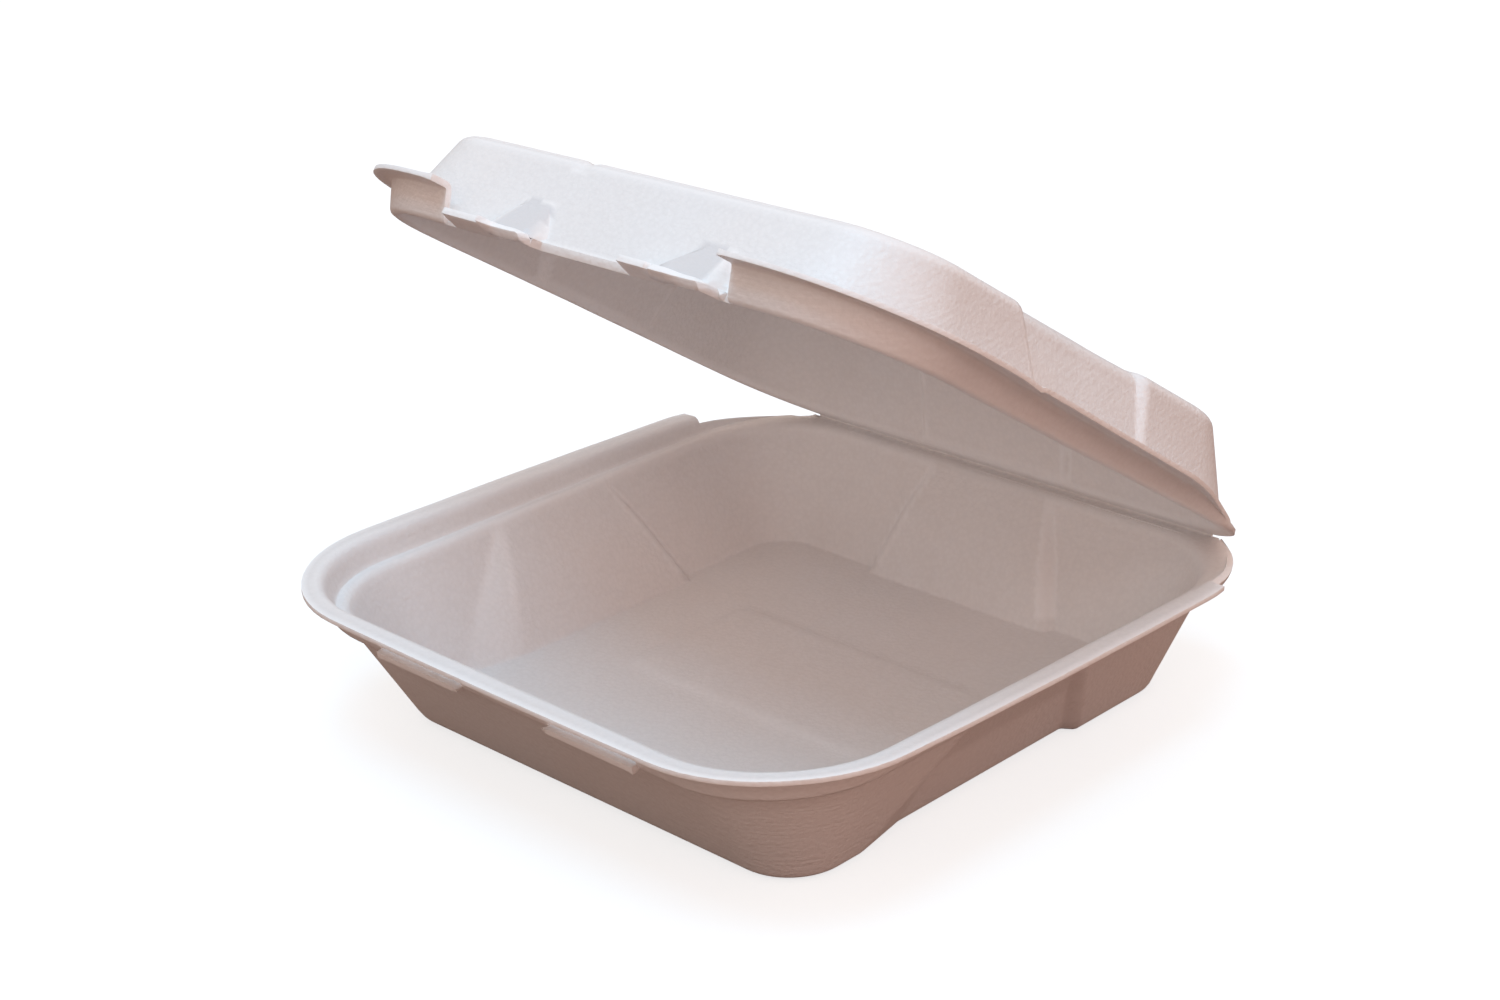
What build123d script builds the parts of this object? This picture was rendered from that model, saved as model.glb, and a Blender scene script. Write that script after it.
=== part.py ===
from build123d import *
import os
from math import atan2, cos

os.makedirs("parts", exist_ok=True)

# Foam food container: a tray and a hinged lid formed from one sheet of white foam, standing open.
# The origin is the centre of the tray's underside. +X is to the right, -Y is the front, +Z is up.
# Lengths are in millimetres. The lid is drawn closed and then turned open about the hinge crease.

# Sheet
sheet = 2.5
crease_sheet = 0.9
running_gap = 0.4

# Tray floor
floor_half = 87.5
floor_corner = 17.0
floor_edge_round = 4.0
floor_panel_length = 100.0
floor_panel_width = 52.0
floor_panel_y = 6.0
floor_panel_rise = 0.8
floor_panel_corner = 3.0

# Tray mouth, at the ledge that the lid's seat rests on
ledge_z = 41.2
mouth_half = 104.4
mouth_front = 108.4
mouth_back = 103.8
mouth_corner = 36.0
ledge_width = 3.6

# Rim: the lip that rises from the ledge and the trimmed flange around it
lip_height = 9.3
lip_lean = 3.3
flange_width = 6.2
flange_bow = 1.8
rim_fall = 4.6
flange_end_y = 72.0
hinge_y = 110.0
hinge_overrun = 5.0

# Lid, measured closed
lid_height = 31.4
lid_top_half = 97.5
lid_top_front = 96.5
lid_top_back = 86.0
lid_top_corner = 24.0
lid_edge_round = 4.0
seat_gap = 0.7
lid_flange_inset = 0.8
open_angle = 33.5

# Front catch: two tongues on the lid and the slots that they reach through
catch_gap_half = 59.5
tongue_centre = 37.5
tongue_half = 18.0
tongue_tip_half = 13.0
tongue_reach = 8.0
tongue_rise = 1.6
slot_clearance = 1.6
shelf_reach = 5.0
gusset_height = 10.5
gusset_top = 8.0
gusset_spread = 11.0
gusset_depth = 6.0
gusset_shift = 5.0
gusset_sheet = 1.8

# Pressed-in panels in the walls
panel_depth = 4.0
panel_knee_z = 22.0
panel_front_low = -41.0
panel_front_high = -27.0
panel_back_low = 37.0
panel_back_high = 18.0
panel_facet_run = 27.0
panel_back_run = 5.0
rear_panel_half_low = 38.0
rear_panel_half_high = 24.0
lid_panel_depth = 4.0
lid_panel_front_low = -24.0
lid_panel_front_high = -38.0
lid_panel_back = 27.0
lid_panel_facet_run = 12.0
lid_panel_drop = 3.0
lid_panel_drop_run = 14.0
lid_rear_panel_half = 30.0

# Worked-out places
reach = 400.0
rim_z = ledge_z + lip_height
rim_front = mouth_front + ledge_width + lip_lean + flange_width
rim_half = mouth_half + ledge_width + lip_lean + flange_width
rim_corner = mouth_corner + ledge_width + lip_lean + flange_width
hinge_z = ledge_z + running_gap / 2
seat_z = ledge_z + running_gap


def outline(half_width, front, back, corner, z):
    """A rounded rectangle that lies level, from y = -front to y = back."""
    length = front + back
    middle = (back - front) / 2
    return Pos(0, middle, z) * RectangleRounded(2 * half_width, length, corner)


def tapered(low, high):
    """A solid between two outlines, with flat sides and conical corners."""
    return loft([outline(*low), outline(*high)], ruled=True)


def bowed_outline(half_width, front, back, corner, bow, z):
    """A rounded rectangle whose front and sides bulge out by bow at their middles."""
    front_left = (-half_width, -front)
    front_right = (half_width, -front)
    back_left = (-half_width, back)
    back_right = (half_width, back)
    middle = (back - front) / 2
    edges = [
        ThreePointArc(front_left, (0, -front - bow), front_right),
        ThreePointArc(front_right, (half_width + bow, middle), back_right),
        Line(back_right, back_left),
        ThreePointArc(back_left, (-half_width - bow, middle), front_left),
    ]
    face = make_face(edges)
    return Pos(0, 0, z) * fillet(face.vertices(), corner)


def side_profile(points):
    """A solid that runs right across in X, drawn by its (y, z) outline."""
    face = make_face(Polyline(*points, close=True))
    return extrude(Plane.YZ * face, reach / 2, both=True)


def rim_line(lift):
    """The (y, z) line of the rim's top surface, lifted; it falls to the ledge at the hinge."""
    knee_share = (rim_front + flange_end_y) / (rim_front + hinge_y)
    knee_z = rim_z - rim_fall * knee_share
    front_slope = rim_fall / (rim_front + hinge_y)
    start = (-reach / 2, rim_z + lift + front_slope * (reach / 2 - rim_front))
    return [start, (flange_end_y, knee_z + lift), (hinge_y, ledge_z + lift)]


def above_rim(lift):
    """Everything above the rim line."""
    points = rim_line(lift)
    points += [(reach / 2, ledge_z + lift), (reach / 2, reach), (-reach / 2, reach)]
    return side_profile(points)


def rim_slab(lift, thickness):
    """A sheet that follows the rim line, its top at the given lift."""
    top = rim_line(lift)
    under = [(y, z - thickness) for y, z in reversed(top)]
    return side_profile(top + under)


def behind(y):
    """Everything behind a level y."""
    return Pos(0, y + reach / 2, 0) * Box(reach, reach, reach)


def slope_gap(low_wall, high_wall, height):
    """How far the two faces of a leaning sheet wall stand apart, measured level."""
    return sheet / cos(atan2(abs(high_wall - low_wall), height))


def facet(points):
    """A flat face swept outwards along +X, to press a wall in down to that face."""
    return extrude(make_face(Polyline(*points, close=True)), reach / 8, dir=(1, 0, 0))


def press_block(facets, inset):
    """The blocks of one pressed-in panel, moved inwards by inset for the wall's other face."""
    block = Part()
    for points in facets:
        block += facet([(x - inset, y, z) for x, y, z in points])
    return block


def tray_panel(low_wall, high_wall, front_low, front_high, back_low, back_high, facet_run):
    """The facets of a panel in a tray wall that faces +X; it fades out at the ledge."""
    lean = (high_wall - low_wall) / ledge_z
    front_slope = (front_high - front_low) / ledge_z
    back_slope = (back_high - back_low) / ledge_z

    def front_at(z, run, share):
        return (low_wall + lean * z - share * panel_depth, front_low + front_slope * z - run, z)

    def back_at(z, run, share):
        return (low_wall + lean * z - share * panel_depth, back_low + back_slope * z + run, z)

    foot = -panel_knee_z / 2
    knee = panel_knee_z
    back_run = panel_back_run
    front_foot = front_at(foot, 0, 1)
    front_knee = front_at(knee, 0, 1)
    front_top = front_at(ledge_z, 0, 0)
    front_fade = front_at(foot, facet_run, 0)
    back_foot = back_at(foot, 0, 1)
    back_knee = back_at(knee, 0, 1)
    back_top = back_at(ledge_z, 0, 0)
    back_fade = back_at(foot, back_run, 0)
    back_knee_fade = back_at(knee, back_run, 0)
    low = [front_foot, back_foot, back_knee, front_knee]
    high = [front_knee, back_knee, back_top, front_top]
    back_end = [back_foot, back_fade, back_knee_fade, back_knee]
    back_tip = [back_knee, back_knee_fade, back_top]
    front_end = [front_foot, front_knee, front_fade]
    front_tip = [front_knee, front_top, front_fade]
    return [low, high, back_end, back_tip, front_end, front_tip]


def lid_panel(low_wall, high_wall, front_low, front_high, back, facet_run):
    """The facets of a panel in a lid wall that faces +X; it fades out at the lid's seat."""
    lean = (high_wall - low_wall) / lid_height
    top = seat_z + lid_height
    front_slope = (front_high - front_low) / lid_height
    crown = lid_height + sheet

    def at(h, y, share):
        return (low_wall + lean * h - share * lid_panel_depth * h / lid_height, y, seat_z + h)

    front_crown = front_low + front_slope * crown
    face = [at(0, front_low, 0), at(0, back, 0), at(crown, back, 1), at(crown, front_crown, 1)]
    front_end = [at(0, front_low, 0), at(crown, front_crown, 1), at(crown, front_crown - facet_run, 0)]
    back_end = [at(0, back, 0), at(crown, back, 1), at(crown, back + panel_back_run, 0)]
    return [face, front_end, back_end]


def crown_press(half_width, front, back, drop):
    """The block that lowers the lid's top edge along a panel that faces +X."""
    top = seat_z + lid_height - drop
    run = lid_panel_drop_run
    points = [(half_width - run, top), (half_width + run, top - 2 * lid_panel_drop)]
    points += [(half_width + run, top + run), (half_width - run, top + run)]
    face = make_face(Polyline(*[(x, 0, z) for x, z in points], close=True))
    return Pos(0, back, 0) * extrude(face, back - front, dir=(0, -1, 0))


def tray_body(inner):
    """The tray's outer or inner form, from its floor to the ledge."""
    low_z = sheet if inner else 0
    wall_gap = slope_gap(floor_half, mouth_half, ledge_z)
    front_lean = (mouth_front + wall_gap - floor_half) / ledge_z
    side_lean = (mouth_half + wall_gap - floor_half) / ledge_z
    back_lean = (mouth_back + wall_gap - floor_half) / ledge_z
    inset = wall_gap if inner else 0

    def at(z, corner):
        half = floor_half + side_lean * z - inset
        front = floor_half + front_lean * z - inset
        back = floor_half + back_lean * z - inset
        return (half, front, back, corner - inset / 2, z)

    body = tapered(at(low_z, floor_corner), at(ledge_z, mouth_corner + wall_gap))
    body = fillet(body.faces().sort_by(Axis.Z)[0].edges(), floor_edge_round)
    side = tray_panel(
        floor_half,
        mouth_half + wall_gap,
        panel_front_low,
        panel_front_high,
        panel_back_low,
        panel_back_high,
        panel_facet_run,
    )
    rear = tray_panel(
        floor_half,
        mouth_back + wall_gap,
        -rear_panel_half_low,
        -rear_panel_half_high,
        rear_panel_half_low,
        rear_panel_half_high,
        panel_back_run,
    )
    right = press_block(side, inset)
    body -= right
    body -= mirror(right, about=Plane.YZ)
    body -= Rot(0, 0, 90) * press_block(rear, inset)
    return body


def floor_panel(z):
    """The low raised field in the middle of the floor."""
    flat = RectangleRounded(floor_panel_length, floor_panel_width, floor_panel_corner)
    return extrude(Pos(0, floor_panel_y, z) * flat, floor_panel_rise)


def rim_outline(offset, z):
    """The lip's outline at an offset from the ledge's inner edge."""
    back = hinge_y + hinge_overrun
    front = mouth_front + offset
    return outline(mouth_half + offset, front, back, mouth_corner + offset, z)


def lip_form(offset, low_z, lift):
    """The leaning face of the lip, from low_z up past the rim line, at an offset from the ledge."""
    lean = lip_lean / lip_height
    high_z = rim_z + lift + sheet
    grow = lean * (high_z - low_z)
    return loft([rim_outline(offset, low_z), rim_outline(offset + grow, high_z)], ruled=True)


def flange_form(inset, bow):
    """The flange's plan, drawn tall, with the narrow stretch round the rear corners."""
    back = hinge_y + hinge_overrun
    wide = bowed_outline(rim_half - inset, rim_front - inset, back, rim_corner - inset, bow, 0)
    wide = extrude(wide, reach / 4) - behind(flange_end_y)
    narrow = extrude(rim_outline(ledge_width + lip_lean + sheet - inset, 0), reach / 4)
    return wide + narrow


def slot_plan(centre, extra):
    """A tongue's plan at the front, grown by extra."""
    root = mouth_front + ledge_width - 2 * sheet
    tip = mouth_front + ledge_width - seat_gap + tongue_reach + extra
    inner = tongue_half + extra
    outer = tongue_tip_half + extra
    points = [(centre - inner, -root), (centre + inner, -root), (centre + inner, -root - sheet)]
    points += [(centre + outer, -tip), (centre - outer, -tip), (centre - inner, -root - sheet)]
    return make_face(Polyline(*points, close=True))


def make_tray():
    """The tray with its ledge, lip, flange, catch slots and hinge strip."""
    ledge = extrude(rim_outline(ledge_width + sheet, ledge_z - sheet), sheet)
    foot_lift = lip_form(ledge_width + sheet, ledge_z, 0)
    rim = ledge + foot_lift
    rim += flange_form(0, flange_bow) & rim_slab(0, sheet)
    rim -= above_rim(0)
    rim -= lip_form(ledge_width, ledge_z, 0)
    cavity = tray_body(True)
    shell = tray_body(False) + rim
    shell -= cavity
    shell += floor_panel(sheet)
    shell -= behind(hinge_y - running_gap / 2)
    for side in (-1, 1):
        plan = slot_plan(side * tongue_centre, slot_clearance)
        shell -= Pos(0, 0, ledge_z) * extrude(plan, sheet + tongue_rise + slot_clearance)
        shelf = extrude(Pos(0, tongue_reach - shelf_reach, ledge_z - sheet) * plan, sheet)
        shell += shelf - cavity
    return shell


def lid_seat_outline(offset, z):
    """An outline round the lid's mouth, at an offset from its inner edge."""
    front = mouth_front + offset
    return outline(mouth_half + offset, front, mouth_back + offset, mouth_corner + offset, z)


def lid_body(inner):
    """The lid's outer or inner form, from its seat to its top."""
    gap = slope_gap(lid_top_half, mouth_half + sheet, lid_height)
    inset = gap if inner else 0
    height = lid_height - sheet if inner else lid_height
    share = height / lid_height

    def half_at(low, high):
        return low + (high - low) * share - inset

    half = half_at(mouth_half + gap, lid_top_half)
    front = half_at(mouth_front + gap, lid_top_front)
    back = half_at(mouth_back + gap, lid_top_back)
    top = outline(half, front, back, lid_top_corner - inset / 2, seat_z + height)
    body = loft([lid_seat_outline(gap - inset, seat_z), top], ruled=True)
    body = fillet(body.faces().sort_by(Axis.Z)[-1].edges(), lid_edge_round)
    side_wall = mouth_half + gap
    side = lid_panel(
        side_wall,
        lid_top_half,
        lid_panel_front_low,
        lid_panel_front_high,
        lid_panel_back,
        lid_panel_facet_run,
    )
    rear = lid_panel(
        mouth_back + gap,
        lid_top_back,
        -lid_rear_panel_half,
        -lid_rear_panel_half,
        lid_rear_panel_half,
        panel_back_run,
    )
    drop = sheet if inner else 0
    right = press_block(side, inset)
    right += crown_press(lid_top_half - inset, lid_panel_front_high, lid_panel_back, drop)
    rear_block = press_block(rear, inset)
    rear_block += crown_press(lid_top_back - inset, -lid_rear_panel_half, lid_rear_panel_half, drop)
    body -= right
    body -= mirror(right, about=Plane.YZ)
    body -= Rot(0, 0, 90) * rear_block
    return body


def gusset(centre, inset):
    """The wedge that stiffens a tongue, leaning on the lid's front wall; inset gives its hollow."""
    middle = centre + gusset_shift
    wall_lean = (mouth_front + sheet - lid_top_front) / lid_height
    foot = -(mouth_front + ledge_width - seat_gap) + inset
    high = seat_z + sheet + gusset_height - inset
    head = -(mouth_front + sheet - wall_lean * (high - seat_z)) + inset
    low = seat_z
    half = gusset_top / 2 - inset / 2
    spread = gusset_spread - inset
    tip = foot - gusset_depth
    deep = head + 3 * sheet
    left_foot = (middle - half - spread, foot, low)
    right_foot = (middle + half + spread, foot, low)
    left_tip = (middle - half, tip, low)
    right_tip = (middle + half, tip, low)
    left_head = (middle - half, head, high)
    right_head = (middle + half, head, high)
    left_back = (middle - half - spread, deep, low)
    right_back = (middle + half + spread, deep, low)
    left_deep = (middle - half, deep, high)
    right_deep = (middle + half, deep, high)
    sides = [
        [left_tip, right_tip, right_head, left_head],
        [left_foot, left_tip, left_head],
        [right_foot, right_head, right_tip],
        [left_head, right_head, right_deep, left_deep],
        [left_foot, left_head, left_deep, left_back],
        [right_foot, right_back, right_deep, right_head],
        [left_back, left_deep, right_deep, right_back],
        [left_foot, left_back, right_back, right_foot, right_tip, left_tip],
    ]
    faces = []
    for points in sides:
        faces.append(make_face(Polyline(*points, close=True)).face())
    return Solid(Shell(faces))


def tongue(centre):
    """A tongue that reaches out through the tray's slot, rising a little to its tip."""
    root = -(mouth_front + sheet / 2)
    tip = -(mouth_front + ledge_width - seat_gap + tongue_reach)
    tip_z = seat_z + tongue_rise
    points = [(root, seat_z), (tip, tip_z), (tip, tip_z + sheet), (root, seat_z + sheet)]
    return side_profile(points) & extrude(slot_plan(centre, 0), reach / 4)


def make_lid():
    """The lid, closed: its walls, seat, return, flange, tongues and hinge strip."""
    seat = ledge_width - seat_gap
    skin = slope_gap(0, lip_lean, lip_height)
    rim = lip_form(seat, seat_z, 0)
    rim += flange_form(lid_flange_inset, flange_bow) & rim_slab(running_gap + sheet, sheet)
    rim -= above_rim(running_gap + sheet)
    rim -= Pos(0, 0, seat_z - reach / 2) * Box(reach, reach, reach)
    rim -= lip_form(seat - skin, seat_z, 0)
    gap_box = Pos(0, -reach / 2 - mouth_front + sheet, 0) * Box(2 * catch_gap_half, reach, reach)
    rim -= gap_box
    strip = extrude(rim_outline(seat, seat_z), crease_sheet)
    strip -= extrude(lid_seat_outline(0, seat_z), sheet)
    strip -= Pos(0, -reach / 2 + mouth_back - mouth_corner, 0) * Box(reach, reach, reach)
    shell = rim + strip + lid_body(False)
    for side in (-1, 1):
        shell += tongue(side * tongue_centre)
        shell += gusset(side * tongue_centre, 0)
    shell -= lid_body(True)
    for side in (-1, 1):
        shell -= gusset(side * tongue_centre, gusset_sheet)
    shell -= behind(hinge_y - running_gap / 2)
    return shell


def turned_open(shape):
    """The lid turned up about the hinge crease to where it stands open."""
    hinge = Pos(0, hinge_y, hinge_z)
    return hinge * Rot(-open_angle, 0, 0) * Pos(0, -hinge_y, -hinge_z) * shape


tray = make_tray()
print("tray", tray.is_valid, len(tray.solids()), tray.volume, tray.bounding_box())
export_step(tray, "parts/tray.step")
lid = make_lid()
print("lid", lid.is_valid, len(lid.solids()), lid.volume, lid.bounding_box())
both = tray & lid
print("closed overlap", both.volume if both else 0)
lid = turned_open(lid)
export_step(lid, "parts/lid.step")
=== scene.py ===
from math import cos, radians, sin, tan

import bpy
from mathutils import Matrix, Vector, noise


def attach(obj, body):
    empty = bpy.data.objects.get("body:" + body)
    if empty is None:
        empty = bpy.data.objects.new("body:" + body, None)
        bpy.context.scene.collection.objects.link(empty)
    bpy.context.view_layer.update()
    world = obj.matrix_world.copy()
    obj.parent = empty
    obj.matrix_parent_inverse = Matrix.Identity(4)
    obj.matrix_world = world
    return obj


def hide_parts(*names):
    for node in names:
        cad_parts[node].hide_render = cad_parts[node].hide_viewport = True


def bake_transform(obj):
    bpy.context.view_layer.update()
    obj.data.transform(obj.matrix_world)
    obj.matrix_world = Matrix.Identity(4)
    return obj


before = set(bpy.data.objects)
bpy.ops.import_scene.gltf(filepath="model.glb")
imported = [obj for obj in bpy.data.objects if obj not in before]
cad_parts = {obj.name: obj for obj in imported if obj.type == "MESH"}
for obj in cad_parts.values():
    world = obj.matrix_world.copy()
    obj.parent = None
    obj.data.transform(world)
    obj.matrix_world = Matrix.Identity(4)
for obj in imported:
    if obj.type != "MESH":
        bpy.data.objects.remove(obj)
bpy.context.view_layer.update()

bl_info = {
    "name": "Foam food container",
    "version": (1, 0, 0),
    "blender": (4, 5, 0),
    "location": "3D View > Sidebar > Foam container",
    "description": "Makes a hinged foam food container and the studio that it stands in",
    "category": "Add Mesh",
}

MM = 0.001

# How the lid sits on the tray and turns. Each sheet is formed a little past the hinge and trimmed short of it.
LID_OPENING = radians(33.5)
HINGE_ABOVE_LEDGE = 0.2 * MM
HINGE_TRIM = 0.2 * MM
PAST_HINGE = 5 * MM
SEAT_GAP = 0.4 * MM

# How unevenly the sheet is formed, the same on every run, and how its edges are finished.
WAVE_DEPTH = 0.35 * MM
WAVE_SEED = 7
EDGE_ROUNDING = 0.45 * MM
EDGE_ANGLE = radians(62)
SMOOTH_ANGLE = radians(50)
FOLD_SEEN = radians(7)
FOLD_SHARP = radians(13)
FLANGE_BOW_SPAN = 110 * MM

# The slots in the tray's lip: their lower and upper edge from the ledge, and the sill pressed out below them.
SLOT_LOW = -0.9 * MM
SLOT_HIGH = 5.4 * MM
SLOT_SILL = (0, -3.6 * MM, -0.4 * MM)

# The two wedges over the tongues, in millimetres: the left and right edge of the face at its top, then at its
# foot. The flanks slope from the face's edges back to the wall.
WEDGES = ((-34.7, -26.3, -34.7, -21.3), (37.2, 45.2, 33.0, 50.5))
LEFT_FLANK = 0.9 * MM
RIGHT_FLANK = 3.6 * MM
TONGUE_ROWS = 3

# Towards the hinge the lid's lip gets lower and its flange narrower: from where, to where and by what share.
LIP_FALL = (52 * MM, 96 * MM, 0.72)
FLANGE_TAPER = (40 * MM, 80 * MM, 0.82)

# Wear: a kink in the lid's right flange and a dent in the front edge of its top, by their place along the edge.
FLANGE_KINK = -46 * MM
FLANGE_KINK_RUN = 9 * MM
FLANGE_KINK_DROP = 0.6 * MM
TOP_DENT = -27 * MM
TOP_DENT_DEPTH = 0.8 * MM

# The studio: each light's place, width and power in watts, and the setting that holds its colour.
LIGHTS = {
    "top_light": ((0.0, -0.30, 1.7), 1.0, 13.2, "sky"),
    "side_light": ((1.7, -0.25, 0.75), 1.2, 3.7, "side"),
    "catch_light": ((0.95, -1.0, 1.25), 0.22, 1.6, "catch"),
}
LIGHTS_AIM = Vector((0, 0, 0.06))
ROOM_STRENGTH = 0.76
FLOOR_GLOW = 0.72
WHITE = (1.0, 1.0, 1.0)

# The camera, fitted to the picture, which is 1500 pixels wide.
PICTURE_WIDTH = 1500
SENSOR_WIDTH = 36
FOCAL_PIXELS = 2665.6
SHIFT_PIXELS = (-36.6, 1.6)
CAMERA_PLACE = (0.54025, -0.54058, 0.3874)
CAMERA_YAW = radians(44.78)
CAMERA_PITCH = radians(22.79)
CAMERA_ROLL = -0.04

noise.seed_set(WAVE_SEED)


def length_setting(label, description, default_mm):
    return bpy.props.FloatProperty(
        name=label,
        description=description,
        default=default_mm * MM,
        unit="LENGTH",
        subtype="DISTANCE",
        precision=4,
    )


def colour_setting(label, description, default):
    return bpy.props.FloatVectorProperty(
        name=label, description=description, default=default, subtype="COLOR", size=3, min=0, max=1
    )


class FoamSizes(bpy.types.PropertyGroup):
    """Sizes of the foam sheet and its formed rims"""

    sheet: length_setting("Sheet", "Thickness of the formed foam", 2.5)
    crease_sheet: length_setting("Crease sheet", "Thickness of the foam pressed thin at the hinge", 1.1)
    floor_half: length_setting("Floor half width", "Half width of the tray's underside", 87.5)
    floor_corner: length_setting("Floor corner", "Corner radius of the tray's underside", 17.0)
    floor_panel_rise: length_setting("Floor panel rise", "Height of the low raised field in the floor", 0.8)
    ledge_z: length_setting("Ledge height", "Height of the ledge that the lid sits on", 41.2)
    mouth_half: length_setting("Mouth half width", "Half width of the opening at the ledge", 104.4)
    mouth_front: length_setting("Mouth front", "Distance from the middle to the front of the opening", 108.4)
    mouth_back: length_setting("Mouth back", "Distance from the middle to the back of the opening", 103.8)
    mouth_corner: length_setting("Mouth corner", "Corner radius of the opening", 36.0)
    ledge_width: length_setting("Ledge width", "Width of the ledge", 3.6)
    lip_height: length_setting("Lip height", "Rise from the ledge to the top of the flange", 9.3)
    lip_lean: length_setting("Lip lean", "How far the lip leans outwards over its height", 3.3)
    flange_width: length_setting("Flange width", "Width of the trimmed flange", 6.2)
    flange_bow: length_setting("Flange bow", "How far the flange bulges at the middle of a side", 1.8)
    flange_end_y: length_setting("Flange end", "Where the wide flange stops towards the hinge", 72.0)
    rim_fall: length_setting("Rim fall", "How much lower the rim is at the hinge than at the front", 4.6)
    hinge_y: length_setting("Hinge place", "Distance from the middle to the hinge crease", 110.0)
    lid_height: length_setting("Lid height", "Height of the lid above its seat", 31.4)
    lid_top_half: length_setting("Lid top half width", "Half width of the lid's top", 97.5)
    lid_top_front: length_setting("Lid top front", "Distance from the middle to the top's front edge", 96.5)
    lid_top_back: length_setting("Lid top back", "Distance from the middle to the top's back edge", 86.0)
    lid_top_corner: length_setting("Lid top corner", "Corner radius of the lid's top", 24.0)
    catch_gap_half: length_setting("Catch gap half width", "Half width of the cut-out in the lid's flange", 59.5)
    tongue_centre: length_setting("Tongue centre", "Distance from the middle to each tongue", 37.5)
    tongue_half: length_setting("Tongue half width", "Half width of a tongue at its root", 18.0)
    tongue_reach: length_setting("Tongue reach", "How far a tongue stands out", 8.0)
    tongue_rise: length_setting("Tongue rise", "How much higher a tongue's tip is than its root", 1.6)
    wedge_height: length_setting("Wedge height", "Height of the wedge that stiffens a tongue", 12.0)
    wedge_depth: length_setting("Wedge depth", "How far a wedge stands out at its foot", 5.2)
    panel_depth: length_setting("Panel depth", "Depth of the panels pressed in the walls", 4.0)
    grid_step: length_setting("Mesh step", "Distance between the mesh lines", 1.6)


class FoamColours(bpy.types.PropertyGroup):
    """Colours of the foam and the studio"""

    foam: colour_setting("Foam", "Colour of the foam's skin", (0.84, 0.835, 0.84))
    foam_warm: colour_setting("Foam, warm", "Colour of the slightly yellowed patches", (0.85, 0.80, 0.775))
    foam_beads: colour_setting("Foam, beads", "Colour of the dents between the beads", (0.70, 0.68, 0.68))
    # Painted shade: the wedges' faces are given this darker grey.
    wedge_painted_shade: colour_setting("Foam, pressed", "Colour of the dense foam on the wedges", (0.70, 0.695, 0.71))
    # Besides the open cells at cuts, this lighter colour is painted along the creases as a highlight.
    cut_cells_and_crease_highlight: colour_setting("Foam, trimmed", "Colour of the open cells at trimmed edges", (0.97, 0.965, 0.97))
    floor_seen: colour_setting("Floor", "Colour of the pale studio floor", (0.40, 0.44, 0.47))
    floor_bounce: colour_setting("Floor bounce", "Colour of the floor's bounced light", (0.215, 0.118, 0.084))
    sky: colour_setting("Top light", "Colour of the large light above", (0.30, 0.72, 1.0))
    side: colour_setting("Side light", "Colour of the soft light on the right", (1.0, 0.42, 0.32))
    room: colour_setting("Room", "Colour of the even light all round", (1.0, 0.81, 0.72))
    catch: colour_setting("Catch light", "Colour of the small light on the lid's corner", (1.0, 0.97, 0.95))


# Meshes


def clear_selection():
    if bpy.context.object and bpy.context.object.mode != "OBJECT":
        bpy.ops.object.mode_set(mode="OBJECT")
    bpy.ops.object.select_all(action="DESELECT")


def make_active(piece):
    clear_selection()
    piece.select_set(True)
    bpy.context.view_layer.objects.active = piece


def edit_all(piece):
    """Turns edit mode on with the whole mesh selected."""
    make_active(piece)
    bpy.ops.object.mode_set(mode="EDIT")
    bpy.ops.mesh.select_all(action="SELECT")


def edit_none(piece, kind):
    """Leaves no face or edge selected, in object mode, so that code can pick them."""
    make_active(piece)
    bpy.ops.object.mode_set(mode="EDIT")
    bpy.ops.mesh.select_mode(type=kind)
    bpy.ops.mesh.select_all(action="DESELECT")
    bpy.ops.object.mode_set(mode="OBJECT")


def note(piece, name, values):
    """Keeps a number for each point in an attribute."""
    layer = piece.data.attributes.new(name, "FLOAT", "POINT")
    layer.data.foreach_set("value", [float(value) for value in values])


def spaced(low, high, marks, step):
    """Places from low to high, evenly spaced between the marks that fall inside."""
    stops = [low] + sorted(mark for mark in marks if low < mark < high) + [high]
    places = []
    for start, stop in zip(stops, stops[1:]):
        count = max(1, round((stop - start) / step))
        places += [start + (stop - start) * i / count for i in range(count)]
    return places


def wedge_feet(wedge):
    """Where a wedge's left flank, face and right flank begin and end at its foot."""
    left, right = wedge[2] * MM, wedge[3] * MM
    return [left - LEFT_FLANK, left, right, right + RIGHT_FLANK]


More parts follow.
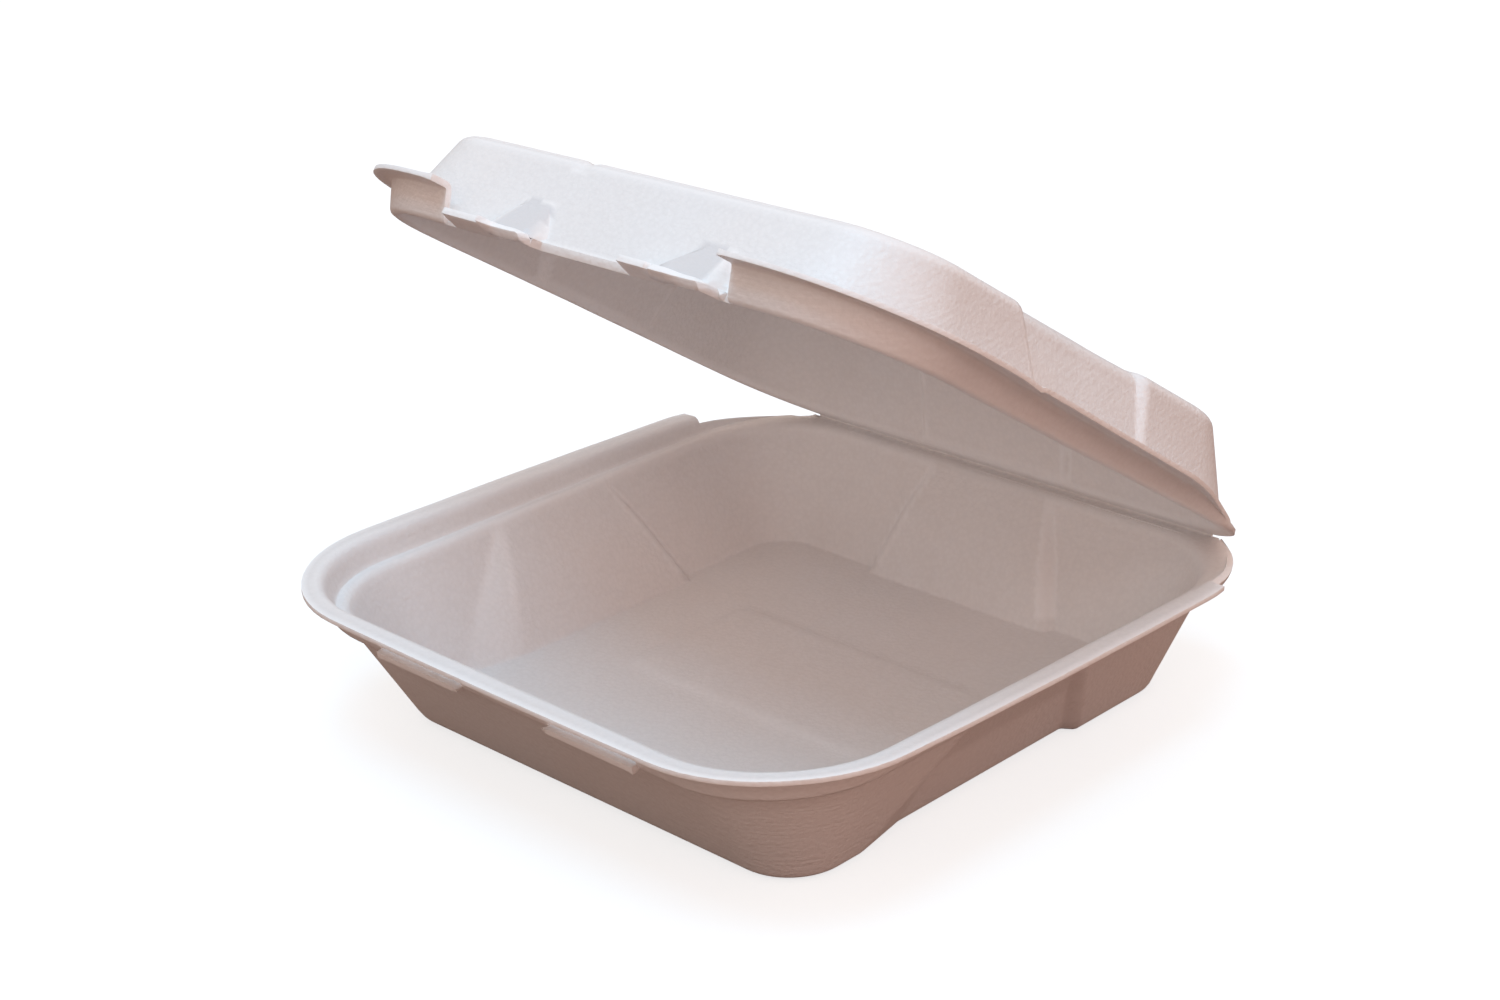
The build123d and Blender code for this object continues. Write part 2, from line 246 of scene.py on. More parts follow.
class RoundPlan:
    """The mesh lines round a rounded rectangle, the same on every ring, anticlockwise from the front left."""

    def __init__(self, sizes):
        self.low_x = -(sizes.mouth_half - sizes.mouth_corner)
        self.high_x = -self.low_x
        marks = [-sizes.catch_gap_half, sizes.catch_gap_half]
        for middle in (-sizes.tongue_centre, sizes.tongue_centre):
            marks += [middle - sizes.tongue_half, middle + sizes.tongue_half]
        for wedge in WEDGES:
            marks += wedge_feet(wedge)
        span = self.high_x - self.low_x
        front = spaced(self.low_x, self.high_x, marks, sizes.grid_step)
        self.front = [(x - self.low_x) / span for x in front]
        # The lines stand closer together where the panels are creased.
        fine, coarse = 0.75 * sizes.grid_step / span, 1.3 * sizes.grid_step / span
        stops = (0, 0.2, 0.36, 0.64, 0.8, 1)
        self.side = []
        for start, stop, step in zip(stops, stops[1:], (coarse, fine, coarse, fine, coarse)):
            self.side += spaced(start, stop, [], step)
        self.turn = 14
        self.count = len(self.front) + 3 * len(self.side) + 4 * self.turn

    def ring(self, half, front, back, corner):
        """Places round a rounded rectangle, by its half width, its front, its back and its corner radius."""
        left, right = -half + corner, half - corner
        near, far = -front + corner, back - corner
        points = [(left + (right - left) * t, -front) for t in self.front]
        points += self.arc(right, near, corner, -90)
        points += [(half, near + (far - near) * t) for t in self.side]
        points += self.arc(right, far, corner, 0)
        points += [(right + (left - right) * t, back) for t in self.side]
        points += self.arc(left, far, corner, 90)
        points += [(-half, far + (near - far) * t) for t in self.side]
        points += self.arc(left, near, corner, 180)
        return points

    def arc(self, x, y, radius, start):
        angles = [radians(start + 90 * i / self.turn) for i in range(self.turn)]
        return [(x + radius * cos(a), y + radius * sin(a)) for a in angles]


def laid_grid(name, columns, rows, place):
    """A grid whose points are each laid at place(row, column)."""
    clear_selection()
    bpy.ops.mesh.primitive_grid_add(x_subdivisions=columns, y_subdivisions=rows, size=1)
    piece = bpy.context.object
    piece.name = name
    piece.data.name = name
    for vertex in piece.data.vertices:
        vertex.co = place(*divmod(vertex.index, columns + 1))
    return piece


def formed_sheet(name, plan, rings, trimmed=None):
    """A flat grid formed over a mould: each row is laid round one ring, trimmed, and the seam is closed."""
    piece = laid_grid(name, plan.count, len(rings) - 1, lambda row, column: rings[row][column % plan.count])
    across = plan.count + 1
    note(piece, "ring", [vertex.index // across for vertex in piece.data.vertices])
    if trimmed:
        edit_none(piece, "FACE")
        for face in piece.data.polygons:
            face.select = trimmed(*divmod(min(face.vertices), across))
        bpy.ops.object.mode_set(mode="EDIT")
        bpy.ops.mesh.delete(type="FACE")
    edit_all(piece)
    bpy.ops.mesh.remove_doubles(threshold=0.01 * MM)
    bpy.ops.object.mode_set(mode="OBJECT")
    return piece


def select_faces(piece, wanted):
    """Selects the faces whose middle and ring pass the test, and leaves edit mode on."""
    edit_none(piece, "FACE")
    rings = piece.data.attributes["ring"].data
    for face in piece.data.polygons:
        ring = sum(rings[i].value for i in face.vertices) / len(face.vertices)
        face.select = wanted(face.center, ring)
    bpy.ops.object.mode_set(mode="EDIT")


def delete_faces(piece, wanted):
    select_faces(piece, wanted)
    bpy.ops.mesh.delete(type="FACE")
    bpy.ops.object.mode_set(mode="OBJECT")


def cut_line(piece, wanted, point, normal):
    """Cuts new mesh lines where a plane crosses the chosen faces."""
    select_faces(piece, wanted)
    bpy.ops.mesh.bisect(plane_co=point, plane_no=normal)
    bpy.ops.object.mode_set(mode="OBJECT")


def trim_at_hinge(piece, sizes):
    """Cuts off what the sheet has past the hinge crease."""
    edit_all(piece)
    bpy.ops.mesh.bisect(plane_co=(0, sizes.hinge_y - HINGE_TRIM, 0), plane_no=(0, 1, 0), clear_outer=True)
    bpy.ops.object.mode_set(mode="OBJECT")


def edge_normals(mesh):
    """The normals of the faces at each edge: one at an open edge, two elsewhere."""
    normals = {}
    for face in mesh.polygons:
        for key in face.edge_keys:
            normals.setdefault(key, []).append(face.normal.copy())
    return normals


def pull_out_edges(piece, wanted, shift):
    """Extrudes the open edges whose middles pass the test."""
    edit_none(piece, "EDGE")
    normals = edge_normals(piece.data)
    chosen = 0
    for edge in piece.data.edges:
        a, b = (piece.data.vertices[i].co for i in edge.vertices)
        if len(normals.get(edge.key, ())) == 1 and wanted((a + b) / 2):
            edge.select = True
            chosen += 1
    if not chosen:
        raise RuntimeError("no open edge to pull out on " + piece.name)
    bpy.ops.object.mode_set(mode="EDIT")
    bpy.ops.mesh.extrude_edges_move(TRANSFORM_OT_translate={"value": shift})
    bpy.ops.object.mode_set(mode="OBJECT")


def mark_cut_edges(piece):
    """Notes the trimmed edges of the sheet, for the foam's finish."""
    open_points = {i for key, pair in edge_normals(piece.data).items() if len(pair) == 1 for i in key}
    note(piece, "cut_edge", [i in open_points for i in range(len(piece.data.vertices))])


def mark_crease_highlights(piece, lowest=0.0):
    """Notes how sharply the sheet is folded above the lowest height, for a painted highlight along the creases.
    """
    mesh = piece.data
    folds = [0.0] * len(mesh.vertices)
    for key, pair in edge_normals(mesh).items():
        if len(pair) == 2 and pair[0].length > 0.5 and pair[1].length > 0.5:
            fold = ramp(pair[0].angle(pair[1]), FOLD_SEEN, FOLD_SHARP)
            for i in key:
                if mesh.vertices[i].co.z > lowest:
                    folds[i] = max(folds[i], fold)
    note(piece, "crease", folds)


def thicken(piece, thickness, rounding, share_at):
    """Gives a formed sheet its thickness, thinner where share_at says so, and softens its trimmed edges."""
    rings = [entry.value for entry in piece.data.attributes["ring"].data]
    shares = [share_at(ring, vertex.co) for ring, vertex in zip(rings, piece.data.vertices)]
    group = piece.vertex_groups.new(name="sheet_share")
    for index, share in enumerate(shares):
        group.add([index], share, "REPLACE")
    edit_all(piece)
    bpy.ops.mesh.normals_make_consistent(inside=False)
    bpy.ops.object.mode_set(mode="OBJECT")
    wall = piece.modifiers.new("Foam thickness", "SOLIDIFY")
    wall.thickness = thickness
    wall.offset = 0
    wall.vertex_group = group.name
    bpy.ops.object.modifier_apply(modifier=wall.name)
    edge = piece.modifiers.new("Soft edge", "BEVEL")
    edge.width = rounding
    edge.segments = 2
    edge.limit_method = "ANGLE"
    edge.angle_limit = EDGE_ANGLE
    bpy.ops.object.modifier_apply(modifier=edge.name)
    bpy.ops.object.shade_smooth_by_angle(angle=SMOOTH_ANGLE)


def ramp(value, low, high):
    """0 below low, 1 above high, straight between."""
    if high == low:
        return 1.0 if value >= low else 0.0
    return min(1.0, max(0.0, (value - low) / (high - low)))


def soft(value, low, high):
    """0 below low, 1 above high, eased between."""
    share = ramp(value, low, high)
    return share * share * (3 - 2 * share)


def sign(value):
    return 1 if value > 0 else -1


def bend(start, corner, end, radius, steps):
    """A profile's corner, rounded off by an arc, as (out, up) points."""
    a = (Vector(start) - Vector(corner)).normalized()
    b = (Vector(end) - Vector(corner)).normalized()
    half = a.angle(b) / 2
    reach = radius / tan(half)
    middle = Vector(corner) + (a + b).normalized() * (radius / sin(half))
    first = Vector(corner) + a * reach - middle
    last = Vector(corner) + b * reach - middle
    turn = first.angle_signed(last)
    points = []
    for i in range(steps + 1):
        share = turn * i / steps
        x = first.x * cos(share) + first.y * sin(share)
        y = -first.x * sin(share) + first.y * cos(share)
        points.append((middle.x + x, middle.y + y))
    return points


def stretch(first, last, step):
    """Points strictly between two profile points."""
    count = max(1, round((Vector(last) - Vector(first)).length / step))
    return [tuple(Vector(first).lerp(Vector(last), i / count)) for i in range(1, count)]


def rounded_profile(corners, step):
    """A profile line through (out, up, radius) corners."""
    line = [tuple(corners[0][:2])]
    for before, corner, after in zip(corners, corners[1:], corners[2:]):
        arc = bend(before[:2], corner[:2], after[:2], corner[2], max(2, round(corner[2] / MM * 1.4)))
        line += stretch(line[-1], arc[0], step)
        line += arc
    last = tuple(corners[-1][:2])
    line += stretch(line[-1], last, step)
    line.append(last)
    return line


def rim_height(sizes, y):
    """How far the rim's top stands above the ledge at a place from front to hinge."""
    front = sizes.mouth_front + sizes.ledge_width + sizes.lip_lean + sizes.flange_width
    back = min(y, sizes.flange_end_y)
    height = sizes.lip_height - sizes.rim_fall * (front + back) / (front + sizes.hinge_y)
    return height * (1 - ramp(y, sizes.flange_end_y, sizes.hinge_y))


def bowed(x, y, bow, side_start, front_start):
    """A place on a flange, moved out with the flange's bulge at the middle of a side or of the front."""
    if abs(x) > side_start:
        x += bow * (1 - min(1.0, (y / FLANGE_BOW_SPAN) ** 2)) * sign(x)
    if y < -front_start:
        y -= bow * (1 - min(1.0, (x / FLANGE_BOW_SPAN) ** 2))
    return x, y


def waviness(point, amount):
    """The faint unevenness of formed foam."""
    wide = noise.noise_vector(point * 14) * 0.75
    fine = noise.noise_vector(point * 45 + Vector((3, 7, 1))) * 0.25
    return (wide + fine) * amount


# The tray


def tray_press(sizes, x, y, z):
    """How far the pressed-in panels move a point of the tray's walls: first sideways, then from behind."""
    full_depth_top = 22 * MM
    depth = 1 - ramp(z, full_depth_top, sizes.ledge_z)
    height = z / sizes.ledge_z
    front_run = 27 * MM * (sizes.ledge_z - z) / (sizes.ledge_z + 11 * MM)
    end_run = 2 * MM * depth + 0.5 * MM
    side_front = (-41 + 14 * height) * MM
    side_end = (37 - 19 * height) * MM
    rear_half = (38 - 14 * height) * MM
    side = ramp(y, side_front - front_run, side_front) * (1 - ramp(y, side_end, side_end + end_run)) * depth
    rear = (1 - ramp(abs(x), rear_half, rear_half + end_run)) * depth
    wall_start = 0.86 * sizes.floor_half
    wall_foot = sizes.floor_half - 1 * MM
    side *= soft(abs(x), wall_start, wall_foot)
    rear *= soft(y, wall_start, wall_foot)
    return side * sizes.panel_depth, rear * sizes.panel_depth


def tray_rings(sizes, plan):
    """The rings of the tray's middle surface, from the middle of the floor to the flange's edge."""
    level = sizes.sheet / 2
    rings = []

    def flat_ring(half, front, back, corner, z):
        rings.append([Vector((x, y, z)) for x, y in plan.ring(half, front, back, corner)])

    raised = level + sizes.floor_panel_rise
    panel = (50 * MM, 20 * MM, 32 * MM, 4 * MM)
    centre = 6 * MM
    rings.append([Vector((0, centre, raised))] * plan.count)
    for share in (0.25, 0.5, 0.75, 0.9, 0.97):
        front = -centre + (panel[1] + centre) * share
        back = centre + (panel[2] - centre) * share
        flat_ring(panel[0] * share, front, back, panel[3] * share, raised)
    flat_ring(*[side + 1.2 * MM for side in panel], (raised + level) / 2)
    flat_ring(*[side + 2.6 * MM for side in panel], level)

    lean = (sizes.mouth_half + 2.7 * MM - sizes.floor_half) / sizes.ledge_z
    wall_inset = 1.35 * MM
    floor = sizes.floor_half - wall_inset + lean * level
    floor_rows = 16
    inner = [side + 2.6 * MM for side in panel]
    outer = (floor - 3.4 * MM, floor - 3.4 * MM, floor - 3.4 * MM, sizes.floor_corner - 4 * MM)
    for i in range(1, floor_rows):
        share = i / floor_rows
        flat_ring(*[a + (b - a) * share for a, b in zip(inner, outer)], level)

    ledge = sizes.ledge_z - level
    wall_top = sizes.mouth_half + wall_inset - 0.6 * MM
    lip_foot = sizes.mouth_half + sizes.ledge_width + 0.9 * MM
    lip_top = sizes.lip_height
    slope = sizes.lip_lean / sizes.lip_height
    flange_in = lip_foot + slope * lip_top
    flange_start = sizes.ledge_width + sizes.lip_lean
    flange_out = sizes.mouth_half + flange_start + sizes.flange_width
    line = rounded_profile(
        [
            (floor - 3.5 * MM, level, 0),
            (floor, level, 2.6 * MM),
            (wall_top, ledge, 1.9 * MM),
            (lip_foot, ledge, 1.5 * MM),
            (flange_in, ledge + lip_top, 1.7 * MM),
            (flange_out, ledge + lip_top, 0),
        ],
        2 * MM,
    )
    for out, up in line:
        climb = ramp(out, floor, wall_top)
        past = max(0.0, out - wall_top)
        rise = max(0.0, up - ledge)
        front_lean = (sizes.mouth_front - sizes.mouth_half) * climb
        back_lean = (sizes.mouth_back - sizes.mouth_half) * climb
        corner = sizes.floor_corner + (sizes.mouth_corner - sizes.floor_corner) * climb + past
        behind = out + back_lean
        if past > 0:
            behind += (sizes.hinge_y + PAST_HINGE - sizes.mouth_back - past) * ramp(past, 0, 2.5 * MM)
        front = out + front_lean
        bow = sizes.flange_bow * ramp(past, flange_start, flange_out - wall_top)
        ring = []
        for x, y in plan.ring(out, front, behind, corner):
            z = min(up, ledge)
            x -= 0.32 * past * soft(y, 62 * MM, 100 * MM) * sign(x)
            if rise > 0:
                z = ledge + rise * rim_height(sizes, y) / lip_top
            x, y = bowed(x, y, bow, out - corner * 0.3, front - corner * 0.3)
            ring.append(Vector((x, y, z)))
        rings.append(ring)
    flange_row = len(rings) - 1 - sum(1 for out, up in line if out > flange_in - 0.6 * MM)
    for ring in rings:
        for i, point in enumerate(ring):
            point = point.copy()
            if point.z < ledge - 0.1 * MM:
                side, rear = tray_press(sizes, *point)
                point.x -= side * sign(point.x)
                point.y -= rear
            if point.z > level + 3 * MM:
                point += waviness(point, WAVE_DEPTH)
            ring[i] = point
    return rings, flange_row


def in_slot(sizes, x, grow=0.0):
    """Whether a place along the front lies in the width of a slot."""
    return abs(abs(x) - sizes.tongue_centre) < sizes.tongue_half + grow


def make_tray_piece(sizes):
    """The formed tray, with the wide flange cut off towards the hinge and the slots cut in the lip."""
    plan = RoundPlan(sizes)
    rings, flange_row = tray_rings(sizes, plan)
    piece = formed_sheet("tray_shell", plan, rings)
    trim_at_hinge(piece, sizes)
    end = sizes.flange_end_y
    cut_line(piece, lambda c, ring: c.y > end - 12 * MM and ring > flange_row, (0, end, 0), (0, 1, 0))
    delete_faces(piece, lambda c, ring: c.y > end and ring > flange_row)
    lip = -(sizes.mouth_front + sizes.ledge_width)
    low = sizes.ledge_z + SLOT_LOW
    high = sizes.ledge_z + SLOT_HIGH

    def on_lip(c, ring):
        return c.y < lip + 3 * MM and c.z > sizes.ledge_z - 2 * MM

    def in_opening(c, ring):
        return c.y < lip + 2 * MM and in_slot(sizes, c.x) and low < c.z < high

    def on_sill(c):
        return c.y < lip + 3 * MM and in_slot(sizes, c.x, 0.5 * MM) and abs(c.z - low) < 0.6 * MM

    for level in (high, low):
        cut_line(piece, on_lip, (0, 0, level), (0, 0, 1))
    delete_faces(piece, in_opening)
    pull_out_edges(piece, on_sill, SLOT_SILL)
    mark_cut_edges(piece)
    mark_crease_highlights(piece, 6 * MM)
    rows = len(rings) - 1

    def share_at(ring, c):
        if in_slot(sizes, c.x) and c.y < lip - 1 * MM and c.z < low + 0.5 * MM:
            return 0.7
        return 1 - 0.42 * ramp(ring, flange_row - 3, rows)

    thicken(piece, sizes.sheet, EDGE_ROUNDING, share_at)
    return piece


# The lid


def lid_press(sizes, x, y, height):
    """How the lid's panels move a point: in from the side, in from behind, and down at the top edge."""
    share = ramp(height, 0, sizes.lid_height)
    near = (-24 - 14 * share) * MM
    run = (1.2 + 3.6 * share) * MM
    far = 27 * MM
    far_run = 1.7 * MM
    side = ramp(y, near - run, near) * (1 - ramp(y, far, far + far_run))
    rear = 1 - ramp(abs(x), 30 * MM, 30 * MM + far_run)
    inner = sizes.lid_top_half - 9 * MM
    side_edge = ramp(abs(x), inner, sizes.lid_top_half)
    rear_edge = ramp(y, sizes.lid_top_back - 14 * MM, sizes.lid_top_back)
    depth = 0.3 * ramp(height, 0, 0.1 * sizes.lid_height) + 0.7 * share
    side *= 1 - 0.38 * ramp(y, -5 * MM, far)
    return side * depth * side_edge, rear * depth * rear_edge


def wedge_fall(sizes, height):
    """0 at a wedge's top edge, 1 at its foot."""
    return 1 - ramp(height, 2.5 * MM, sizes.wedge_height)


def wedge_push(sizes, x, height):
    """How far the wedges over the tongues push the front wall out, by a place in the row at their foot."""
    push = 0.0
    for wedge in WEDGES:
        outer_left, left, right, outer_right = wedge_feet(wedge)
        push = max(push, ramp(x, outer_left, left) * (1 - ramp(x, right, outer_right)))
    return push * wedge_fall(sizes, height) * sizes.wedge_depth


def wedge_face(sizes, x, height):
    """Whether a place on the front wall lies on the face of a wedge."""
    fall = wedge_fall(sizes, height)
    for top_left, top_right, foot_left, foot_right in WEDGES:
        left = (top_left + (foot_left - top_left) * fall - 0.4) * MM
        right = (top_right + (foot_right - top_right) * fall + 0.4) * MM
        if fall > 0 and left < x < right:
            return True
    return False


def wedge_shift(sizes, x, height):
    """How far a mesh line moves sideways to follow a wedge's edges up to its narrower top."""
    fall = wedge_fall(sizes, height)
    for wedge in WEDGES:
        top_left, top_right = wedge[0] * MM, wedge[1] * MM
        feet = wedge_feet(wedge)
        places = [feet[0] - 5 * MM, *feet, feet[3] + 5 * MM]
        tops = [places[0], top_left - 0.2 * LEFT_FLANK, top_left]
        tops += [top_right, top_right + 0.1 * RIGHT_FLANK, places[5]]
        for low, high, top_low, top_high in zip(places, places[1:], tops, tops[1:]):
            if low <= x < high:
                top = top_low + (top_high - top_low) * (x - low) / (high - low)
                reach = ramp(height, sizes.wedge_height + 9 * MM, sizes.wedge_height)
                return (top - x) * (1 - fall) * reach
    return 0.0


def lid_rings(sizes, plan):
    """The rings of the closed lid's middle surface, from the middle of its top to the flange's edge."""
    half_sheet = sizes.sheet / 2
    seat = sizes.ledge_z + SEAT_GAP
    top = seat + sizes.lid_height - half_sheet
    wall_foot = sizes.mouth_half + 1.0 * MM
    wall_top = sizes.lid_top_half - 1.0 * MM
    fold = seat + half_sheet
    slope = sizes.lip_lean / sizes.lip_height
    lip_foot = wall_foot + 1.7 * MM
    lip_top = sizes.lip_height + 0.2 * MM
    flange_in = lip_foot + slope * lip_top
    flange_start = 7 * MM
    flange_out = sizes.mouth_half + sizes.ledge_width + sizes.lip_lean + sizes.flange_width - 0.8 * MM
    fall_start, fall_end, fall = LIP_FALL
    rings = []
    centre = Vector((0, 5 * MM, top))
    rings.append([centre] * plan.count)
    start = wall_top - 5.2 * MM
    top_rows = 22
    for i in range(1, top_rows):
        share = i / top_rows
        half = start * share
        front = (start + sizes.lid_top_front - sizes.lid_top_half) * share - centre.y * (1 - share)
        back = (start + sizes.lid_top_back - sizes.lid_top_half) * share + centre.y * (1 - share)
        corner = (sizes.lid_top_corner - 5 * MM) * share
        rings.append([Vector((x, y, top)) for x, y in plan.ring(half, front, back, corner)])
    line = rounded_profile(
        [
            (start, top, 0),
            (wall_top, top, 3.4 * MM),
            (wall_foot, fold, 0.9 * MM),
            (lip_foot, fold, 0.9 * MM),
            (flange_in, fold + lip_top, 1.7 * MM),
            (flange_out, fold + lip_top, 0),
        ],
        1.6 * MM,
    )
    split = next(i for i, (out, up) in enumerate(line) if up < fold + 0.01 * MM and out >= wall_foot)
    for out, up in line:
        climb = ramp(out, wall_top, wall_foot)
        past = max(0.0, out - wall_foot)
        front = out + (sizes.lid_top_front - sizes.lid_top_half) * (1 - climb)
        front += (sizes.mouth_front - sizes.mouth_half) * climb
        back = out + (sizes.lid_top_back - sizes.lid_top_half) * (1 - climb)
        back += (sizes.mouth_back - sizes.mouth_half) * climb
        corner = sizes.lid_top_corner + (sizes.mouth_corner - sizes.lid_top_corner) * climb + past
        rise = max(0.0, up - fold)
        if past > 0:
            share = ramp(past, 0, 2 * MM)
            back = back * (1 - share) + (sizes.hinge_y + PAST_HINGE) * share
        bow = sizes.flange_bow * ramp(past, flange_start, flange_out - wall_foot)
        ring = []
        for x, y in plan.ring(out, front, back, corner):
            z = up
            low = 1 - fall * soft(y, fall_start, fall_end)
            inward = 0.36 * past * soft(y, 60 * MM, 102 * MM) + max(0.0, out - lip_foot) * (1 - low)
            x -= inward * sign(x)
            if past > 1.2 * MM:
                z = fold + rise * (rim_height(sizes, y) * low + 0.2 * MM) / lip_top
            x, y = bowed(x, y, bow, out - corner * 0.3, front - corner * 0.3)
            ring.append(Vector((x, y, z)))
        rings.append(ring)
    fold_row = top_rows + split
    for number, ring in enumerate(rings):
        on_wall = number <= fold_row
        for i, point in enumerate(ring):
            point = point.copy()
            height = point.z - seat
            if on_wall:
                side, rear = lid_press(sizes, point.x, point.y, height)
                point.x -= sizes.panel_depth * side * sign(point.x)
                point.y -= sizes.panel_depth * rear
                edge = ramp(height, 0.5 * sizes.lid_height, sizes.lid_height)
                point.z -= 3 * MM * max(side, rear) * edge
            if i < len(plan.front) and top_rows <= number <= fold_row:
                foot = plan.low_x + (plan.high_x - plan.low_x) * plan.front[i]
                above = max(0.0, height - half_sheet)
                point.y -= wedge_push(sizes, foot, above)
                point.x += wedge_shift(sizes, foot, above)
                if height > 0.86 * sizes.lid_height:
                    point.z -= TOP_DENT_DEPTH * (1 - ramp(abs(point.x - TOP_DENT), 1 * MM, 3.5 * MM))
            if number > 3:
                point += waviness(point, WAVE_DEPTH)
            ring[i] = point
    form_tongues(sizes, plan, rings, fold_row)
    flange_row = len(rings) - 1 - sum(1 for out, up in line if out > flange_in - 0.6 * MM)
    taper_flange(plan, rings, flange_row)
    return rings, fold_row


def form_tongues(sizes, plan, rings, fold_row):
    """Lays the rows past the front wall's foot out as tongues, and rounds the flange's cut ends."""
    last = len(rings) - 1
    for number in range(fold_row + 1, len(rings)):
        out = ramp(number, fold_row, fold_row + TONGUE_ROWS)
        past = ramp(number, last - 4, last)
        for i in range(len(plan.front)):
            point = rings[number][i]
            root = rings[fold_row][i]
            tongue = tongue_at(sizes, root.x)
            if tongue is not None:
                point.x = tongue + (root.x - tongue) * (1 - 0.06 * out)
                point.y = root.y - out * tongue_length(sizes, root.x)
                point.z = root.z + out * sizes.tongue_rise
            elif abs(root.x) >= sizes.catch_gap_half - 0.1 * MM:
                away = ramp(abs(root.x), sizes.catch_gap_half, sizes.catch_gap_half + 8 * MM)
                corner = 4.0 * MM if root.x < 0 else 1.0 * MM
                pull = corner * (1 - (1 - past * past) ** 0.5) + 0.5 * MM * noise.noise(point * 700)
                point.x += pull * (1 - away) * sign(point.x)


def taper_flange(plan, rings, flange_row):
    """Narrows the lid's flange towards the hinge, and lets its right side sag to a small step at the kink."""
    taper_start, taper_end, taper = FLANGE_TAPER
    for number in range(flange_row + 1, len(rings)):
        for i in range(len(plan.front), plan.count):
            root = rings[flange_row][i]
            width = 1 - taper * soft(root.y, taper_start, taper_end)
            rings[number][i] = root.lerp(rings[number][i], width)
            if root.x > 0 and root.y < FLANGE_KINK:
                share = ramp(number, flange_row, len(rings) - 1)
                share *= ramp(root.y, FLANGE_KINK - FLANGE_KINK_RUN, FLANGE_KINK)
                rings[number][i].z -= FLANGE_KINK_DROP * share


def tongue_at(sizes, x):
    """The middle of the tongue that spans this place, or none."""
    for side in (-1, 1):
        if abs(x - side * sizes.tongue_centre) < sizes.tongue_half + 0.1 * MM:
            return side * sizes.tongue_centre
    return None


def tongue_length(sizes, x):
    """How far a tongue reaches past the wall's foot: fully at its left, and drawn in at its right."""
    middle = tongue_at(sizes, x)
    share = 1 - 0.85 * soft(x, middle + 1 * MM, middle + sizes.tongue_half)
    reach = sizes.tongue_reach * share - wedge_push(sizes, x, 0)
    return max(1.3 * MM, reach)


def open_lid(piece, sizes, angle):
    """Turns the closed lid's mesh up about the hinge crease."""
    hinge = Vector((0, sizes.hinge_y, sizes.ledge_z + HINGE_ABOVE_LEDGE))
    turn = Matrix.Translation(hinge) @ Matrix.Rotation(-angle, 4, "X") @ Matrix.Translation(-hinge)
    piece.data.transform(turn)


def mark_painted_shade_faces(piece, sizes, fold_row):
    """Notes the faces of the wedges, whose colour is darkened as painted shade."""
    rings = piece.data.attributes["ring"].data
    pressed = []
    for entry, vertex in zip(rings, piece.data.vertices):
        height = max(0.0, vertex.co.z - sizes.ledge_z - sizes.sheet)
        on_front = entry.value <= fold_row and vertex.co.y < -0.9 * sizes.lid_top_front
        pressed.append(on_front and wedge_face(sizes, vertex.co.x, height))
    note(piece, "pressed", pressed)


def make_lid_piece(sizes, angle):
    """The formed lid, cut away between its tongues and turned up by its opening angle."""
    plan = RoundPlan(sizes)
    rings, fold_row = lid_rings(sizes, plan)
    fold = rings[fold_row]

    def trimmed(row, column):
        if row < fold_row or column >= len(plan.front):
            return False
        middle = (fold[column].x + fold[column + 1].x) / 2
        if tongue_at(sizes, middle) is not None:
            return row >= fold_row + TONGUE_ROWS
        return abs(middle) < sizes.catch_gap_half

    piece = formed_sheet("lid_shell", plan, rings, trimmed)
    trim_at_hinge(piece, sizes)
    mark_cut_edges(piece)
    mark_crease_highlights(piece)
    mark_painted_shade_faces(piece, sizes, fold_row)
    rows = len(rings) - 1
    tongue_end = fold_row + TONGUE_ROWS

    def share_at(ring, c):
        if c.y < -100 * MM and abs(c.x) < sizes.catch_gap_half - 0.2 * MM:
            return 1 - 0.2 * ramp(ring, fold_row, tongue_end)
        return 1 - 0.45 * ramp(ring, fold_row + 2, rows - 4)

    thicken(piece, sizes.sheet, EDGE_ROUNDING, share_at)
    open_lid(piece, sizes, angle)
    return piece


# The hinge crease


def make_crease_piece(sizes, angle):
    """The thin bent strip of foam that joins the lid to the tray along the hinge."""
    hinge = (sizes.hinge_y, sizes.ledge_z + HINGE_ABOVE_LEDGE)
    inward = (-cos(angle), sin(angle))
    upward = (sin(angle), cos(angle))

    def on_lid(along, above):
        return tuple(h + along * i + above * u for h, i, u in zip(hinge, inward, upward))

    path = [(hinge[0] - 4.0 * MM, hinge[1] - 0.9 * MM), (hinge[0] - 1.6 * MM, hinge[1] - 0.85 * MM)]
    path += [(hinge[0] - 0.5 * MM, hinge[1] - 0.6 * MM), (hinge[0] + 0.1 * MM, hinge[1])]
    path += [on_lid(0.5 * MM, 0.6 * MM), on_lid(1.6 * MM, 0.85 * MM), on_lid(4.0 * MM, 0.9 * MM)]
    columns = 48
    half = 86 * MM

    def place(row, column):
        return (half * (2 * column / columns - 1), *path[row])

    piece = laid_grid("hinge_crease", columns, len(path) - 1, place)
    edit_all(piece)
    bpy.ops.mesh.subdivide(number_cuts=1, smoothness=0.6)
    bpy.ops.object.mode_set(mode="OBJECT")
    wall = piece.modifiers.new("Crease thickness", "SOLIDIFY")
    wall.thickness = sizes.crease_sheet
    wall.offset = 0
    bpy.ops.object.modifier_apply(modifier=wall.name)
    bpy.ops.object.shade_smooth_by_angle(angle=SMOOTH_ANGLE)
    return piece


# Materials


